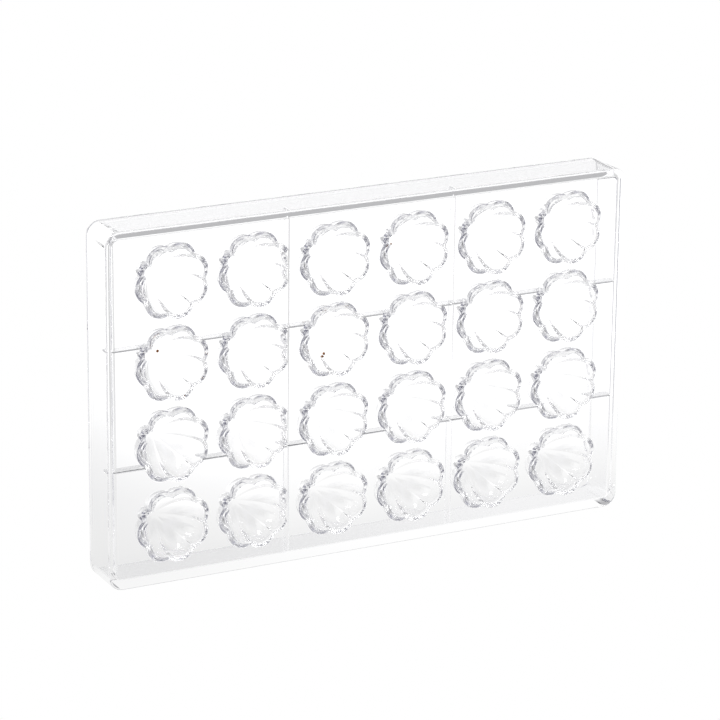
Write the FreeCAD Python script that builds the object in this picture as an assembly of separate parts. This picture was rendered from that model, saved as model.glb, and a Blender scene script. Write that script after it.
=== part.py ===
import FreeCAD, Part
import math
import os

# Clear chocolate mould: a flat plate with rows of fluted shell cavities, a deep
# skirt round its edge and low ribs behind it, all one moulding. It stands on a
# long edge: X runs along it, Z is up, and the cavities open towards -Y.

# Outer box
length = 275.0
height = 175.0
depth = 24.0
corner_radius = 7.0
smallest_radius = 1.0
corner_chords = 6

# Thicknesses
plate = 3.0
skirt = 4.0
shell_wall = 2.6

# Shell cavity
lobe_tip_radius = 16.25
lobe_cusp_radius = 14.1
cavity_depth = 14.5
hinge_angle = 154.0
hinge_lobe_width = 24.0
full_lobes = 7
apex_offset = 5.5

# Fineness of the shell
lobe_chords = 3
inner_rings = 4
outer_rings = 3
last_ring_angle = 84.0

# Layout
column_gap = 4.3
row_gap = 2.3
edge_clearance = 1.5
pattern_right = 1.4
pattern_up = 0.3

# Ribs behind the plate
rib_height = 5.0
rib_thickness = 1.0
upright_rib_spacing = 87.8
level_rib_spacing = 59.0

front = -depth / 2
back = depth / 2
shell_diameter = 2 * (lobe_tip_radius + shell_wall)
column_pitch = shell_diameter + column_gap
row_pitch = shell_diameter + row_gap
pattern_height = height / 2 + pattern_up
root_overlap = plate / 2


def point(x, y, z):
    return FreeCAD.Vector(x, y, z)


def copies(span, pitch):
    """How many shells fit between the skirt walls along one direction."""
    room = span - 2 * (skirt + edge_clearance) - shell_diameter
    return max(1, int(room // pitch) + 1)


def places(count, pitch, middle):
    """Evenly spaced centres about a middle."""
    first = middle - pitch * (count - 1) / 2
    return [first + pitch * i for i in range(count)]


def flat_face(corners):
    """Flat face through corner points."""
    return Part.Face(Part.makePolygon(corners + corners[:1]))


def rounded_block(width, tall, radius, y_start, y_end):
    """Block with four rounded corners, seen along Y, centred on the plate."""
    corners = []
    for quarter, x_side, z_side in ((0, 1, 1), (1, -1, 1), (2, -1, -1), (3, 1, -1)):
        x_centre = x_side * (width / 2 - radius)
        z_centre = height / 2 + z_side * (tall / 2 - radius)
        for i in range(corner_chords + 1):
            angle = (quarter + i / corner_chords) * math.pi / 2
            corners.append(point(x_centre + radius * math.cos(angle), y_start, z_centre + radius * math.sin(angle)))
    return flat_face(corners).extrude(point(0, y_end - y_start, 0))


def make_tray():
    """Plate and skirt."""
    outer = rounded_block(length, height, corner_radius, front, back)
    inner_radius = max(corner_radius - skirt, smallest_radius)
    inner = rounded_block(length - 2 * skirt, height - 2 * skirt, inner_radius, front + plate, back + plate)
    return outer.cut(inner)


def make_ribs():
    """Two upright and two level ribs from skirt wall to skirt wall."""
    ribs = []
    y_start = front + plate - root_overlap
    deep = rib_height + root_overlap
    inset = skirt / 2
    for side in (-1, 1):
        upright = Part.makeBox(rib_thickness, deep, height - 2 * inset)
        upright.translate(point(side * upright_rib_spacing / 2 - rib_thickness / 2, y_start, inset))
        level = Part.makeBox(length - 2 * inset, deep, rib_thickness)
        level_height = pattern_height + side * level_rib_spacing / 2
        level.translate(point(inset - length / 2, y_start, level_height - rib_thickness / 2))
        ribs += [upright, level]
    return ribs


def lobe_outline(grow):
    """Corner points of the lobed shell outline about (0, 0), as (x, z) pairs."""
    full_width = (360.0 - hinge_lobe_width) / full_lobes
    widths = [hinge_lobe_width] + [full_width] * full_lobes
    angle = hinge_angle - hinge_lobe_width / 2
    outline = []
    for width in widths:
        spots = ((angle, lobe_cusp_radius), (angle + width / 2, lobe_tip_radius), (angle + width, lobe_cusp_radius))
        ends = []
        for turn, radius in spots:
            reach = radius + grow
            ends.append(point(reach * math.cos(math.radians(turn)), 0, reach * math.sin(math.radians(turn))))
        outline += Part.Arc(*ends).discretize(lobe_chords + 1)[:-1]
        angle += width
    return [(p.x, p.z) for p in outline]


def shell_solid(grow, start, straight, end, rings):
    """Fluted dome: the outline runs straight back, then shrinks towards the apex."""
    outline = lobe_outline(grow)
    apex_x = apex_offset * math.cos(math.radians(hinge_angle))
    apex_z = apex_offset * math.sin(math.radians(hinge_angle))
    stations = [(1.0, start)]
    for i in range(rings + 1):
        angle = math.radians(last_ring_angle * i / rings)
        deep = straight + (end - straight) * math.sin(angle) / math.sin(math.radians(last_ring_angle))
        stations.append((math.cos(angle), deep))
    rings_of_points = []
    for scale, deep in stations:
        ring = [point(apex_x + scale * (x - apex_x), deep, apex_z + scale * (z - apex_z)) for x, z in outline]
        rings_of_points.append(ring)
    faces = [flat_face(rings_of_points[0]), flat_face(rings_of_points[-1])]
    for near, far in zip(rings_of_points, rings_of_points[1:]):
        for i in range(len(outline)):
            faces.append(flat_face([near[i - 1], near[i], far[i], far[i - 1]]))
    return Part.makeSolid(Part.makeShell(faces))


def pattern(solid):
    """One copy of a shell solid at each place of the grid."""
    copied = []
    for x in places(copies(length, column_pitch), column_pitch, pattern_right):
        for z in places(copies(height, row_pitch), row_pitch, pattern_height):
            one = solid.copy()
            one.translate(point(x, 0, z))
            copied.append(one)
    return copied


def make_mould():
    """The whole moulding as one solid."""
    bump_start = front + plate - root_overlap
    bump_end = front + cavity_depth + shell_wall
    bump = shell_solid(shell_wall, bump_start, front + plate, bump_end, outer_rings)
    cavity = shell_solid(0.0, front - plate, front, front + cavity_depth, inner_rings)
    body = make_tray().multiFuse(make_ribs() + pattern(bump))
    return body.cut(pattern(cavity))


mould = make_mould()
os.makedirs("parts", exist_ok=True)
mould.exportStep("parts/mould.step")
print("solids", len(mould.Solids), "valid", mould.isValid(), "volume", round(mould.Volume), "faces", len(mould.Faces))
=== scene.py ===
import math

import bmesh
import bpy
from mathutils import Matrix, Vector, noise


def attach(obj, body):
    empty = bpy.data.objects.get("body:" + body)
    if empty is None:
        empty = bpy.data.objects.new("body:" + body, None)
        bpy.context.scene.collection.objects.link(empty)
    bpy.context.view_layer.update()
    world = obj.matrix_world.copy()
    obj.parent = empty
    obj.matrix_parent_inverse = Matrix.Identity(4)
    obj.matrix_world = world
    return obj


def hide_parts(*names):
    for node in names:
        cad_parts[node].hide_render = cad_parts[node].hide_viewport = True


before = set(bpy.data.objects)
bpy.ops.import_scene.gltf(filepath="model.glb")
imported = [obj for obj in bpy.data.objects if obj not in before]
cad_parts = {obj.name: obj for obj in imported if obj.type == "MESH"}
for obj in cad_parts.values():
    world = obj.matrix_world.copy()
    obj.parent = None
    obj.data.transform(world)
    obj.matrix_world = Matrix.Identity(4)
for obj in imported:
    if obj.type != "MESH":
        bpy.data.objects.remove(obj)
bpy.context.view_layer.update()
mm = 0.001
scene = bpy.context.scene
scene.view_settings.view_transform = "Standard"  # keeps the studio white a true white
allBounces = 40  # light runs a long way inside clear plastic
plasticBounces = 32
scene.cycles.max_bounces = allBounces
scene.cycles.glossy_bounces = plasticBounces
scene.cycles.transmission_bounces = plasticBounces


# Small helpers for meshes

def meshObject(bm, name):
    mesh = bpy.data.meshes.new(name)
    bmesh.ops.recalc_face_normals(bm, faces=bm.faces)
    bm.to_mesh(mesh)
    bm.free()
    obj = bpy.data.objects.new(name, mesh)
    scene.collection.objects.link(obj)
    return obj


def addBlock(bm, size, centre):
    made = bmesh.ops.create_cube(bm, size=1.0)
    bmesh.ops.scale(bm, vec=Vector(size) * mm, verts=made["verts"])
    bmesh.ops.translate(bm, vec=Vector(centre) * mm, verts=made["verts"])
    return made["verts"]


def pullFace(bm, face, keep=False):
    made = bmesh.ops.extrude_face_region(bm, geom=[face])["geom"]
    if not keep:
        bmesh.ops.delete(bm, geom=[face], context="FACES_ONLY")
    return [f for f in made if isinstance(f, bmesh.types.BMFace)][0]


def centres(count, pitch, middle):
    first = middle - pitch * (count - 1) / 2
    return [first + pitch * i for i in range(count)]


# The mould: plate, skirt, ribs and fluted shell cavities, one clear moulding
mouldShape = {
    "length": 275.0, "height": 175.0, "depth": 24.0, "cornerRadius": 7.0, "cornerSegments": 8,
    "plate": 3.0, "skirt": 4.0, "edgeRounding": 1.0, "edgeSegments": 4, "sharpEdge": 1.2,
    "ribHeight": 5.0, "ribThickness": 1.0, "uprightSpacing": 87.8, "levelSpacing": 59.0,
    "columns": 6, "rows": 4, "columnPitch": 42.0, "rowPitch": 40.0, "patternX": 1.4, "patternZ": 0.3,
    "ribRounding": 0.3, "ribSegments": 3, "smoothBelow": 38.0, "flatWidth": 1.6, "weldDistance": 0.002,
}
shellShape = {
    "tipRadius": 16.25, "cuspRadius": 14.1, "cavityDepth": 14.5, "wall": 2.6,
    "hingeAngle": 154.0, "hingeWidth": 24.0, "fullLobes": 7, "apexOffset": 5.5,
    "lobeChords": 8, "leastChords": 3, "cuspRounding": 0.35, "cuspSegments": 3, "sameSpot": 0.01,
    "rings": 15, "lastRingAngle": 87.0, "mouthRounding": 0.3, "rootRounding": 0.25, "flareSteps": 3,
}


def makeTray(shape):
    bm = bmesh.new()
    addBlock(bm, (shape["length"], shape["depth"], shape["height"]), (0, 0, shape["height"] / 2))
    corners = [e for e in bm.edges if abs((e.verts[0].co - e.verts[1].co).normalized().y) > 0.9]
    bmesh.ops.bevel(bm, geom=corners, offset=shape["cornerRadius"] * mm, segments=shape["cornerSegments"],
                    affect="EDGES", profile=0.5, material=-1)
    rim = max(bm.faces, key=lambda f: f.calc_center_median().y)
    bmesh.ops.inset_region(bm, faces=[rim], thickness=shape["skirt"] * mm, use_even_offset=True)
    inner = pullFace(bm, rim).verts[:]
    bmesh.ops.translate(bm, vec=Vector((0, (shape["plate"] - shape["depth"]) * mm, 0)), verts=inner)
    bmesh.ops.recalc_face_normals(bm, faces=bm.faces)
    edges = [e for e in bm.edges if e.calc_face_angle(0) > shape["sharpEdge"]]
    bmesh.ops.bevel(bm, geom=edges, offset=shape["edgeRounding"] * mm, segments=shape["edgeSegments"],
                    affect="EDGES", profile=0.5, material=-1)
    return meshObject(bm, "tray")


def makeRibs(shape):
    bm = bmesh.new()
    deep = shape["ribHeight"] + shape["plate"] / 2
    y = -shape["depth"] / 2 + shape["plate"] / 2 + deep / 2
    middle = shape["height"] / 2
    for side in (-1, 1):
        addBlock(bm, (shape["ribThickness"], deep, shape["height"] - shape["skirt"]),
                 (side * shape["uprightSpacing"] / 2, y, middle))
        addBlock(bm, (shape["length"] - shape["skirt"], deep, shape["ribThickness"]),
                 (0, y, middle + shape["patternZ"] + side * shape["levelSpacing"] / 2))
    bm.faces.ensure_lookup_table()
    middleOfDepth = y * mm
    long = shape["height"] * mm / 2
    edges = [e for e in bm.edges if e.calc_length() > long and min(v.co.y for v in e.verts) > middleOfDepth]
    bmesh.ops.bevel(bm, geom=edges, offset=shape["ribRounding"] * mm, segments=shape["ribSegments"],
                    affect="EDGES", profile=0.5, material=-1)
    return meshObject(bm, "ribs")


def shellOutline(bm, shell, grow, y):
    fullWidth = (360.0 - shell["hingeWidth"]) / shell["fullLobes"]
    widths = [shell["hingeWidth"]] + [fullWidth] * shell["fullLobes"]
    cusp = (shell["cuspRadius"] + grow) * mm
    tip = (shell["tipRadius"] + grow) * mm
    angle = math.radians(shell["hingeAngle"] - shell["hingeWidth"] / 2)
    last = bm.verts.new((cusp * math.cos(angle), y, cusp * math.sin(angle)))
    cusps = [last.co.copy()]
    for width in widths:
        half = math.radians(width) / 2
        chord = cusp * math.sin(half)
        rise = tip - cusp * math.cos(half)
        radius = (chord * chord + rise * rise) / (2 * rise)
        sweep = 2 * math.asin(chord / radius)
        axis = angle + half
        centre = Vector((math.cos(axis), 0, math.sin(axis))) * (tip - radius) + Vector((0, y, 0))
        steps = max(shell["leastChords"], round(shell["lobeChords"] * width / fullWidth))
        spun = bmesh.ops.spin(bm, geom=[last], cent=centre, axis=(0, -1, 0), angle=sweep, steps=steps)
        last = [v for v in spun["geom_last"] if isinstance(v, bmesh.types.BMVert)][0]
        angle += 2 * half
        cusps.append(last.co.copy())
    bmesh.ops.remove_doubles(bm, verts=bm.verts, dist=shell["sameSpot"] * mm)
    bmesh.ops.contextual_create(bm, geom=bm.edges[:])
    atCusps = [v for v in bm.verts if min((v.co - c).length for c in cusps) < 2 * shell["sameSpot"] * mm]
    bmesh.ops.bevel(bm, geom=atCusps, offset=shell["cuspRounding"] * mm, segments=shell["cuspSegments"],
                    affect="VERTICES", profile=0.5, material=-1)
    return bm.faces[:][0]


def shellStations(shell, start, straight, end, flare):
    stations = []
    reach = shell["tipRadius"]
    for i in range(shell["flareSteps"] + 1):
        turn = math.radians(90.0 / shell["flareSteps"] * i)
        stations.append((1 + flare * (1 - math.sin(turn)) / reach, straight + flare * (1 - math.cos(turn))))
    stations.insert(0, (stations[0][0], start))
    shoulder = stations[-1][1]
    last = math.radians(shell["lastRingAngle"])
    for i in range(1, shell["rings"] + 1):
        turn = last * i / shell["rings"]
        stations.append((math.cos(turn), shoulder + (end - shoulder) * (math.sin(turn) / math.sin(last))))
    return stations


def makeShells(shape, shell, grow, start, straight, end, flare, name):
    bm = bmesh.new()
    stations = shellStations(shell, start, straight, end, flare)
    hinge = math.radians(shell["hingeAngle"])
    apex = Vector((math.cos(hinge), 0, math.sin(hinge))) * shell["apexOffset"] * mm
    face = shellOutline(bm, shell, grow, stations[0][1] * mm)
    wide = stations[0][0]
    bmesh.ops.scale(bm, vec=(wide, 1, wide), space=Matrix.Translation(-apex), verts=bm.verts)
    for (scaleWas, yWas), (scaleNow, yNow) in zip(stations, stations[1:]):
        face = pullFace(bm, face, keep=yWas == stations[0][1])
        verts = face.verts[:]
        ratio = scaleNow / scaleWas
        bmesh.ops.scale(bm, vec=(ratio, 1, ratio), space=Matrix.Translation(-apex), verts=verts)
        bmesh.ops.translate(bm, vec=(0, (yNow - yWas) * mm, 0), verts=verts)
    one = bm.verts[:] + bm.edges[:] + bm.faces[:]
    for x in centres(shape["columns"], shape["columnPitch"], shape["patternX"]):
        for z in centres(shape["rows"], shape["rowPitch"], shape["height"] / 2 + shape["patternZ"]):
            copied = bmesh.ops.duplicate(bm, geom=one)["geom"]
            verts = [v for v in copied if isinstance(v, bmesh.types.BMVert)]
            bmesh.ops.translate(bm, vec=Vector((x, 0, z)) * mm, verts=verts)
    bmesh.ops.delete(bm, geom=[g for g in one if isinstance(g, bmesh.types.BMVert)], context="VERTS")
    return meshObject(bm, name)


def joinBoolean(base, other, operation, crossing=False):
    tool = base.modifiers.new(operation, "BOOLEAN")
    tool.solver = "EXACT"
    tool.use_self = crossing
    tool.operation = operation
    tool.object = other
    bpy.context.view_layer.update()
    mesh = bpy.data.meshes.new_from_object(base.evaluated_get(bpy.context.evaluated_depsgraph_get()))
    base.modifiers.clear()
    base.data = mesh
    bpy.data.objects.remove(other)


def shadeByAngle(obj, shape):
    bm = bmesh.new()
    bm.from_mesh(obj.data)
    bmesh.ops.remove_doubles(bm, verts=bm.verts, dist=shape["weldDistance"] * mm)
    for f in bm.faces:
        f.smooth = f.calc_area() < shape["flatWidth"] * mm * f.calc_perimeter() / 2
    for e in bm.edges:
        e.smooth = e.calc_face_angle(0) < math.radians(shape["smoothBelow"])
    bm.to_mesh(obj.data)
    bm.free()


def makeMould(shape, shell):
    front = -shape["depth"] / 2
    mould = makeTray(shape)
    joinBoolean(mould, makeRibs(shape), "UNION", crossing=True)
    bumps = makeShells(shape, shell, shell["wall"], front + shape["plate"] / 2, front + shape["plate"],
                       front + shell["cavityDepth"] + shell["wall"], shell["rootRounding"], "bumps")
    joinBoolean(mould, bumps, "UNION")
    cavities = makeShells(shape, shell, 0.0, front - shape["plate"], front, front + shell["cavityDepth"],
                          shell["mouthRounding"], "cavities")
    joinBoolean(mould, cavities, "DIFFERENCE")
    shadeByAngle(mould, shape)
    mould.name = "clearMould"
    return mould


# Materials

def nodeMaterial(name):
    material = bpy.data.materials.new(name)
    material.use_nodes = True
    tree = material.node_tree
    return material, tree, tree.nodes["Principled BSDF"], tree.nodes["Material Output"]


clearPlastic = {
    "tint": (0.985, 0.985, 0.99, 1), "ior": 1.585, "shadowTint": (0.80, 0.80, 0.81, 1),
    "wearScale": 140.0, "wearDetail": 4.0,
    "wearFrom": 0.55, "wearTo": 0.80, "polished": 0.0, "worn": 0.02,
    "flowScale": 38.0, "flowDetail": 2.0,
    "flowStretch": (1.0, 1.0, 3.0), "flowStrength": 0.01, "flowDepth": 0.25,
}


def noiseOver(tree, coordinates, scale, detail):
    texture = tree.nodes.new("ShaderNodeTexNoise")
    texture.inputs["Scale"].default_value = scale
    texture.inputs["Detail"].default_value = detail
    tree.links.new(coordinates, texture.inputs["Vector"])
    return texture.outputs["Fac"]


def rangeOf(tree, value, lowIn, highIn, lowOut, highOut):
    ramp = tree.nodes.new("ShaderNodeMapRange")
    ramp.inputs["From Min"].default_value = lowIn
    ramp.inputs["From Max"].default_value = highIn
    ramp.inputs["To Min"].default_value = lowOut
    ramp.inputs["To Max"].default_value = highOut
    tree.links.new(value, ramp.inputs["Value"])
    return ramp.outputs["Result"]


def bumpFrom(tree, height, strength, depth):
    bump = tree.nodes.new("ShaderNodeBump")
    bump.inputs["Strength"].default_value = strength
    bump.inputs["Distance"].default_value = depth * mm
    tree.links.new(height, bump.inputs["Height"])
    return bump.outputs["Normal"]


def makeClearPlastic(look):
    material, tree, plastic, output = nodeMaterial("clearPlastic")
    plastic.inputs["Base Color"].default_value = look["tint"]
    plastic.inputs["Transmission Weight"].default_value = 1.0
    plastic.inputs["IOR"].default_value = look["ior"]
    where = tree.nodes.new("ShaderNodeTexCoord")
    wear = noiseOver(tree, where.outputs["Object"], look["wearScale"], look["wearDetail"])
    rough = rangeOf(tree, wear, look["wearFrom"], look["wearTo"], look["polished"], look["worn"])
    tree.links.new(rough, plastic.inputs["Roughness"])
    stretch = tree.nodes.new("ShaderNodeMapping")
    stretch.inputs["Scale"].default_value = look["flowStretch"]
    tree.links.new(where.outputs["Object"], stretch.inputs["Vector"])
    flow = noiseOver(tree, stretch.outputs["Vector"], look["flowScale"], look["flowDetail"])
    tree.links.new(bumpFrom(tree, flow, look["flowStrength"], look["flowDepth"]), plastic.inputs["Normal"])
    passing = tree.nodes.new("ShaderNodeBsdfTransparent")
    passing.inputs["Color"].default_value = look["shadowTint"]
    path = tree.nodes.new("ShaderNodeLightPath")
    mix = tree.nodes.new("ShaderNodeMixShader")
    tree.links.new(path.outputs["Is Shadow Ray"], mix.inputs["Fac"])
    tree.links.new(plastic.outputs["BSDF"], mix.inputs[1])
    tree.links.new(passing.outputs["BSDF"], mix.inputs[2])
    tree.links.new(mix.outputs["Shader"], output.inputs["Surface"])
    return material


mould = makeMould(mouldShape, shellShape)
mould.data.materials.clear()
mould.data.materials.append(makeClearPlastic(clearPlastic))
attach(mould, "root")
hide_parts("mould")
print("mould made:", len(mould.data.polygons), "faces")


# Crumbs of cocoa left in three of the cavities
crumbs = {
    "places": (  # where each crumb lies and how long it is, in millimetres
        (-105.8, 2.4, 110.6, 1.5), (-21.0, -1.1, 98.5, 1.5), (-22.3, -2.3, 97.6, 1.4),
        (-21.8, -1.4, 96.9, 0.8), (15.9, 2.1, 147.5, 1.0),
    ),
    "flatness": 0.6, "lumpScale": 900.0, "lumps": 0.35, "fineness": 2,
}
cocoa = {
    "dark": (0.075, 0.024, 0.006, 1), "light": (0.42, 0.15, 0.022, 1), "spread": 1400.0, "detail": 3.0,
    "matt": 0.75, "satin": 0.45, "mattBelow": 0.3, "satinAbove": 0.7, "grain": 0.5, "grainDepth": 0.08,
}


def makeCrumbs(shape):
    bm = bmesh.new()
    for x, y, z, long in shape["places"]:
        made = bmesh.ops.create_icosphere(bm, subdivisions=shape["fineness"], radius=long * mm / 2)["verts"]
        bmesh.ops.translate(bm, vec=Vector((x, y, z)) * mm, verts=made)
        middle = Vector((x, y, z)) * mm
        for v in made:
            away = v.co - middle
            away.y *= shape["flatness"]
            v.co = middle + away * (1 + shape["lumps"] * noise.noise(v.co * shape["lumpScale"]))
    for f in bm.faces:
        f.smooth = True
    return meshObject(bm, "cocoaCrumbs")


def makeCocoa(look):
    material, tree, surface, output = nodeMaterial("cocoaCrumb")
    where = tree.nodes.new("ShaderNodeTexCoord")
    grain = noiseOver(tree, where.outputs["Object"], look["spread"], look["detail"])
    mix = tree.nodes.new("ShaderNodeMix")
    mix.data_type = "RGBA"
    mix.inputs["A"].default_value = look["dark"]
    mix.inputs["B"].default_value = look["light"]
    tree.links.new(grain, mix.inputs["Factor"])
    tree.links.new(mix.outputs["Result"], surface.inputs["Base Color"])
    rough = rangeOf(tree, grain, look["mattBelow"], look["satinAbove"], look["matt"], look["satin"])
    tree.links.new(rough, surface.inputs["Roughness"])
    tree.links.new(bumpFrom(tree, grain, look["grain"], look["grainDepth"]), surface.inputs["Normal"])
    return material


cocoaCrumbs = makeCrumbs(crumbs)
cocoaCrumbs.data.materials.append(makeCocoa(cocoa))
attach(cocoaCrumbs, "root")
print("crumbs made")


# Studio: white sweep that glows with painted shade and painted light round the mould, in a pale room
studio = {
    "floorSize": 8.0, "floorEdge": -0.05, "white": (1.0, 1.0, 1.0, 1),
    "floorShades": (  # distance behind the mould in metres, and the painted shade or painted light on the glowing paper there
        (-0.05, (0.97, 0.97, 0.97, 1)),
        (0.012, (1.02, 1.02, 1.02, 1)), (0.013, (0.88, 0.88, 0.88, 1)), (0.05, (0.95, 0.95, 0.945, 1)),
        (0.10, (1.03, 1.03, 1.03, 1)), (0.22, (1.30, 1.30, 1.30, 1)),
    ),
    "shadeStart": -0.5, "shadeEnd": 0.5, "floorRise": 0.05,  # rise in millimetres
    # painted shade on the paper behind and to the left of the mould
    "leftShade": (0.64, 0.64, 0.64, 1), "leftFrom": 0.02, "leftTo": -0.14,
    "leftNear": -0.15, "leftFar": 0.35,
    "frontDark": (0.03, 0.03, 0.06, 1), "frontLight": (0.36, 0.36, 0.45, 1),
    "frontSpread": 3.5, "frontDetail": 1.0, "darkBelow": 0.44, "lightAbove": 0.60, "sideSpread": 0.25,
    "paperFar": (1.0, 1.0, 1.0, 1), "paperTop": -0.08, "paperBelow": -0.20,
    "back": (0.46, 0.46, 0.47, 1), "ceiling": (1.05, 1.05, 1.05, 1), "ceilingFrom": 0.45, "ceilingFull": 0.8,
    "patches": (  # direction, how far it reaches in degrees, softness in degrees, colour
        ((0.9, -0.3, 0.1), 30.0, 14.0, (0.28, 0.28, 0.33, 1)),
        ((-0.75, -0.5, 0.45), 22.0, 5.0, (1.3, 1.3, 1.3, 1)),
        ((0.5, -0.6, 0.6), 15.0, 4.0, (1.2, 1.2, 1.2, 1)),
        ((-0.95, 0.1, 0.25), 24.0, 10.0, (1.1, 1.1, 1.1, 1)),
        ((-0.45, -0.85, 0.31), 9.0, 3.0, (0.02, 0.02, 0.03, 1)),
        ((-0.44, -0.89, 0.06), 7.0, 2.0, (0.02, 0.02, 0.03, 1)),
        ((-0.25, -0.933, -0.259), 9.0, 4.0, (0.26, 0.26, 0.33, 1)),
        ((0.63, 0.75, 0.22), 6.0, 2.0, (0.02, 0.02, 0.03, 1)),
        ((0.2, -0.95, 0.1), 5.0, 2.0, (0.05, 0.05, 0.06, 1)),
        ((0.386, 0.828, 0.407), 4.0, 1.5, (0.02, 0.02, 0.03, 1)),
    ),
    "keyAzimuth": -60.0, "keyElevation": 60.0, "keyDistance": 2.2, "keySize": 0.7, "keyPower": 30.0,
}


def smoothRange(tree, value, start, end):
    ramp = tree.nodes.new("ShaderNodeMapRange")
    ramp.interpolation_type = "SMOOTHSTEP"
    ramp.inputs["From Min"].default_value = start
    ramp.inputs["From Max"].default_value = end
    tree.links.new(value, ramp.inputs["Value"])
    return ramp.outputs["Result"]


def blend(tree, mask, base, colour):
    mix = tree.nodes.new("ShaderNodeMix")
    mix.data_type = "RGBA"
    tree.links.new(mask, mix.inputs["Factor"])
    if isinstance(base, bpy.types.NodeSocket):
        tree.links.new(base, mix.inputs["A"])
    else:
        mix.inputs["A"].default_value = base
    mix.inputs["B"].default_value = colour
    return mix.outputs["Result"]


def whiteForCamera(tree, shader, look):
    path = tree.nodes.new("ShaderNodeLightPath")
    white = tree.nodes.new(shader.bl_idname)
    white.inputs["Color"].default_value = look["white"]
    mix = tree.nodes.new("ShaderNodeMixShader")
    tree.links.new(path.outputs["Is Camera Ray"], mix.inputs["Fac"])
    tree.links.new(shader.outputs[0], mix.inputs[1])
    tree.links.new(white.outputs[0], mix.inputs[2])
    return mix


def makeFloor(look):
    bm = bmesh.new()
    bmesh.ops.create_grid(bm, x_segments=1, y_segments=1, size=look["floorSize"] / 2)
    place = (0, look["floorEdge"] + look["floorSize"] / 2, look["floorRise"] * mm)
    bmesh.ops.translate(bm, vec=place, verts=bm.verts)
    floor = meshObject(bm, "studioFloor")
    material, tree, matte, output = nodeMaterial("studioPaper")
    where = tree.nodes.new("ShaderNodeTexCoord")
    split = tree.nodes.new("ShaderNodeSeparateXYZ")
    along = tree.nodes.new("ShaderNodeMapRange")
    along.inputs["From Min"].default_value = look["shadeStart"]
    along.inputs["From Max"].default_value = look["shadeEnd"]
    # painted shade just behind the mould and painted light further back, along the paper
    shades = tree.nodes.new("ShaderNodeValToRGB")
    ramp = shades.color_ramp
    span = look["shadeEnd"] - look["shadeStart"]
    for spot, (distance, colour) in enumerate(look["floorShades"]):
        place = (distance - look["shadeStart"]) / span
        stop = ramp.elements[spot] if spot < 2 else ramp.elements.new(place)
        stop.position = place
        stop.color = colour
    # the paper is an emission: it glows, and its colour carries the painted shade and painted light
    paper = tree.nodes.new("ShaderNodeEmission")
    tree.links.new(where.outputs["Object"], split.inputs["Vector"])
    tree.links.new(split.outputs["Y"], along.inputs["Value"])
    tree.links.new(along.outputs["Result"], shades.inputs["Fac"])
    # painted shade: the paper's glow darkens towards leftShade behind and left of the mould
    aside = smoothRange(tree, split.outputs["X"], look["leftFrom"], look["leftTo"])
    behind = smoothRange(tree, split.outputs["Y"], look["leftNear"], look["leftFar"])
    corner = tree.nodes.new("ShaderNodeMath")
    corner.operation = "MULTIPLY"
    tree.links.new(aside, corner.inputs[0])
    tree.links.new(behind, corner.inputs[1])
    colour = blend(tree, corner.outputs["Value"], shades.outputs["Color"], look["leftShade"])
    tree.links.new(colour, paper.inputs["Color"])
    mix = whiteForCamera(tree, paper, look)
    tree.links.new(mix.outputs["Shader"], output.inputs["Surface"])
    tree.nodes.remove(matte)
    floor.data.materials.append(material)


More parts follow.
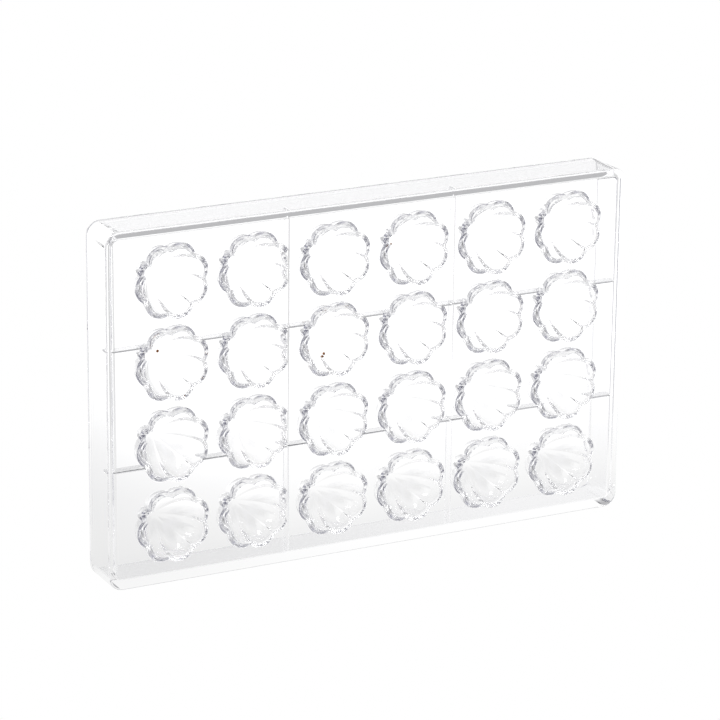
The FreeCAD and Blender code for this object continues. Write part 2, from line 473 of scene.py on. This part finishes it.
def makeWorld(look):
    world = bpy.data.worlds.new("studioRoom")
    scene.world = world
    world.use_nodes = True
    tree = world.node_tree
    background = tree.nodes["Background"]
    where = tree.nodes.new("ShaderNodeTexCoord")
    split = tree.nodes.new("ShaderNodeSeparateXYZ")
    tree.links.new(where.outputs["Generated"], split.inputs["Vector"])
    things = tree.nodes.new("ShaderNodeTexNoise")
    things.inputs["Scale"].default_value = look["frontSpread"]
    things.inputs["Detail"].default_value = look["frontDetail"]
    tree.links.new(where.outputs["Generated"], things.inputs["Vector"])
    lit = smoothRange(tree, things.outputs["Fac"], look["darkBelow"], look["lightAbove"])
    front = blend(tree, lit, look["frontDark"], look["frontLight"])
    below = smoothRange(tree, split.outputs["Z"], look["paperTop"], look["paperBelow"])
    front = blend(tree, below, front, look["paperFar"])
    behind = smoothRange(tree, split.outputs["Y"], -look["sideSpread"], look["sideSpread"])
    colour = blend(tree, behind, front, look["back"])
    above = smoothRange(tree, split.outputs["Z"], look["ceilingFrom"], look["ceilingFull"])
    colour = blend(tree, above, colour, look["ceiling"])
    for aim, reach, softness, shade in look["patches"]:
        turn = tree.nodes.new("ShaderNodeVectorMath")
        turn.operation = "DOT_PRODUCT"
        turn.inputs[1].default_value = Vector(aim).normalized()
        tree.links.new(where.outputs["Generated"], turn.inputs[0])
        outside = math.cos(math.radians(reach + softness))
        inside = math.cos(math.radians(max(reach - softness, 0.0)))
        colour = blend(tree, smoothRange(tree, turn.outputs["Value"], outside, inside), colour, shade)
    tree.links.new(colour, background.inputs["Color"])
    mix = whiteForCamera(tree, background, look)
    tree.links.new(mix.outputs["Shader"], tree.nodes["World Output"].inputs["Surface"])


def direction(azimuth, elevation):
    level = math.cos(elevation)
    return Vector((math.sin(azimuth) * level, -math.cos(azimuth) * level, math.sin(elevation)))


def makeKey(look):
    light = bpy.data.lights.new("keySoftbox", "AREA")
    light.size = look["keySize"]
    light.energy = look["keyPower"]
    obj = bpy.data.objects.new("keySoftbox", light)
    scene.collection.objects.link(obj)
    azimuth = math.radians(look["keyAzimuth"])
    elevation = math.radians(look["keyElevation"])
    away = direction(azimuth, elevation)
    obj.location = away * look["keyDistance"]
    obj.rotation_euler = away.to_track_quat("Z", "Y").to_euler()


makeFloor(studio)
makeWorld(studio)
makeKey(studio)
print("studio made")


# Camera at the photograph's viewing angle
view = {
    "azimuth": -27.07, "elevation": 18.31, "roll": 0.65, "distance": 1760.9,
    "target": (-1.05, 0.0, 92.21), "lens": 183.75, "sensor": 36.0,
}


def makeCamera(look):
    azimuth = math.radians(look["azimuth"])
    elevation = math.radians(look["elevation"])
    roll = math.radians(look["roll"])
    away = direction(azimuth, elevation)
    right = Vector((math.cos(azimuth), math.sin(azimuth), 0))
    up = away.cross(right)
    across = right * math.cos(roll) + up * math.sin(roll)
    upright = up * math.cos(roll) - right * math.sin(roll)
    data = bpy.data.cameras.new("photoCamera")
    data.lens = look["lens"]
    data.sensor_width = look["sensor"]
    camera = bpy.data.objects.new("photoCamera", data)
    scene.collection.objects.link(camera)
    turn = Matrix((across, upright, away)).transposed().to_4x4()
    place = Vector(look["target"]) * mm + away * look["distance"] * mm
    camera.matrix_world = Matrix.Translation(place) @ turn
    scene.camera = camera


makeCamera(view)
